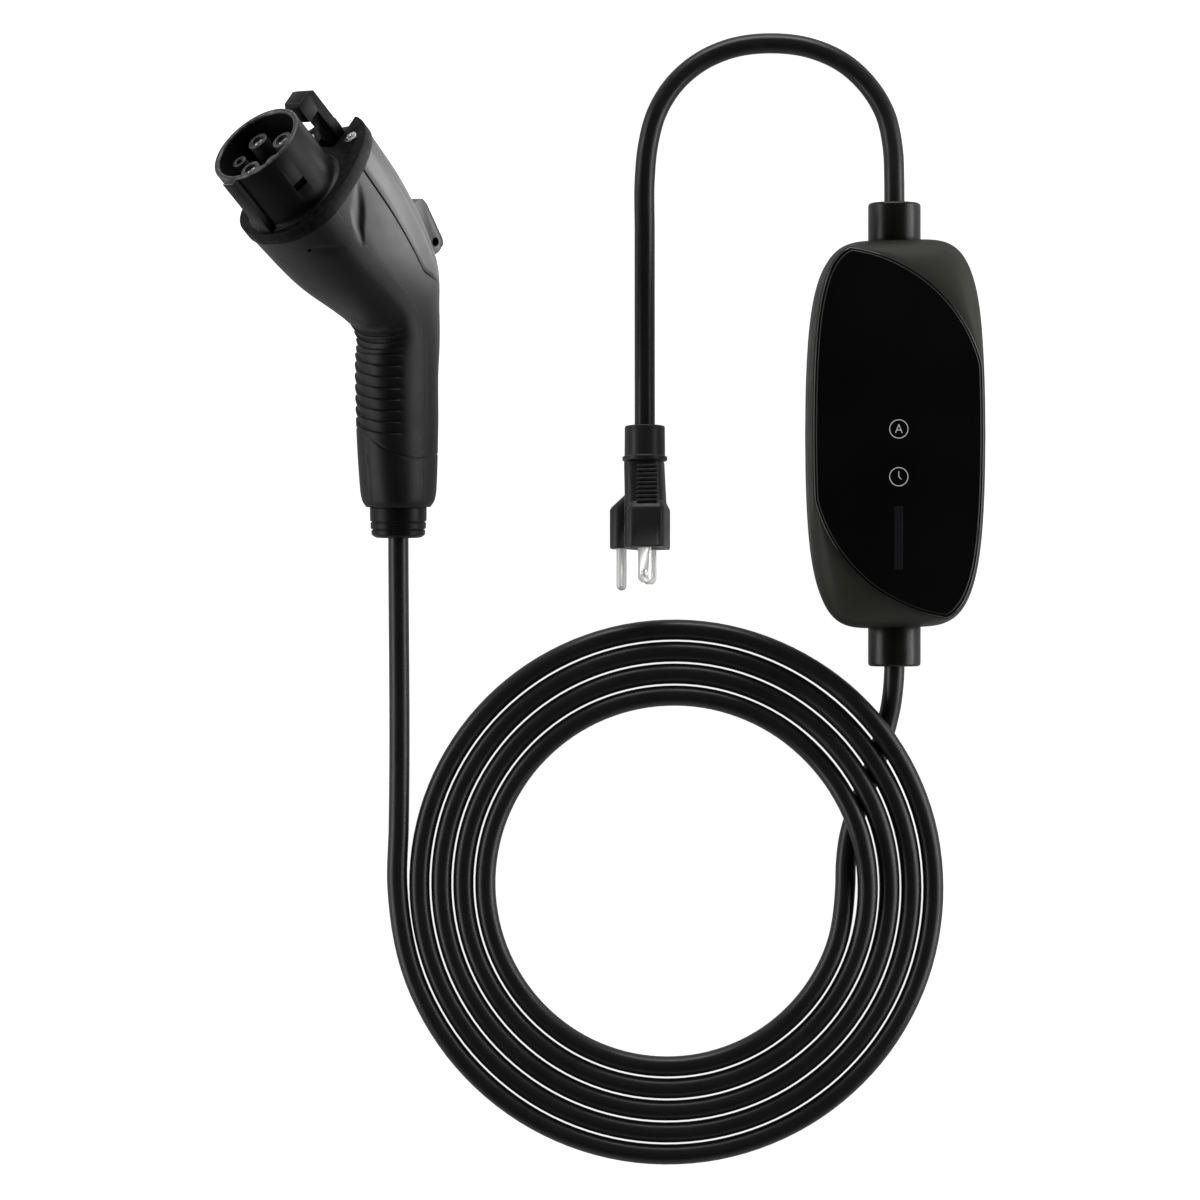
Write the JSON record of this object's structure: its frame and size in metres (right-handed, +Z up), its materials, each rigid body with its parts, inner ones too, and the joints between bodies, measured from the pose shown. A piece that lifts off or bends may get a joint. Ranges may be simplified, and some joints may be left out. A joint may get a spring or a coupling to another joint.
{
  "type": "portable electric vehicle charger",
  "caption": "Portable car charger: flat control box with a touch panel, pistol-grip vehicle connector with a hinged latch, coiled cord and a three-prong wall plug.",
  "frame": {"origin": "middle of the control box's back face, on the table", "axes": "+Z up out of the glass panel, +Y along the box towards the supply cord, +X to the right as the panel is read"},
  "size_m": [0.345, 0.5216, 0.1068],
  "materials": {
    "box_plastic": "satin, olive grey",
    "grip_plastic": "satin, dark grey",
    "strip_plastic": "satin, dark grey",
    "black_plastic": "fine grain, black",
    "panel_glass": "high gloss, black",
    "guide_plastic": "clear, dark when off",
    "board": "solder mask",
    "relay_plastic": "moulded",
    "transformer_wrap": "taped",
    "capacitor_can": "sleeved can",
    "steel": "plated",
    "contact_metal": "silver plated",
    "prong_metal": "nickel plated",
    "seal_rubber": "matt",
    "cord_rubber": "satin"
  },
  "bodies": {
    "charger": {"back_shell": "box_plastic", "front_shell": "box_plastic", "shell_seal": "seal_rubber", "glass_panel": "panel_glass", "light_guide": "guide_plastic", "touch_board": "board", "main_board": "board", "power_relays": "relay_plastic", "transformer": "transformer_wrap", "capacitors": "capacitor_can", "fault_sensor": "black_plastic", "shell_screws": "steel", "top_sleeve": "box_plastic", "bottom_sleeve": "box_plastic", "finger_shell": "grip_plastic", "palm_shell": "grip_plastic", "palm_strip": "strip_plastic", "cord_collar": "black_plastic", "nose_barrel": "black_plastic", "flange_collar": "black_plastic", "contact_carrier": "black_plastic", "contact_shrouds": "black_plastic", "power_contacts": "contact_metal", "signal_contacts": "contact_metal", "latch_pin": "steel", "latch_spring": "steel", "latch_switch": "black_plastic", "flange_screws": "steel", "plug_body": "cord_rubber", "plug_blades": "prong_metal", "ground_pin": "prong_metal", "supply_cord": "cord_rubber", "grip_cord": "cord_rubber", "cord_coil": "cord_rubber", "box_cord": "cord_rubber"},
    "latch": {"latch_lever": "black_plastic", "thumb_button": "grip_plastic"}
  },
  "joints": [
    {"name": "latch_hinge", "type": "hinge", "parent": "charger", "child": "latch", "pos_m": [-0.24608, 0.12052, 0.04621], "axis": [-0.7314, 0.0357, -0.6811], "range_deg": [0, 6], "stiffness_Nm_per_rad": 0.5, "springref_deg": -8.59}
  ]
}
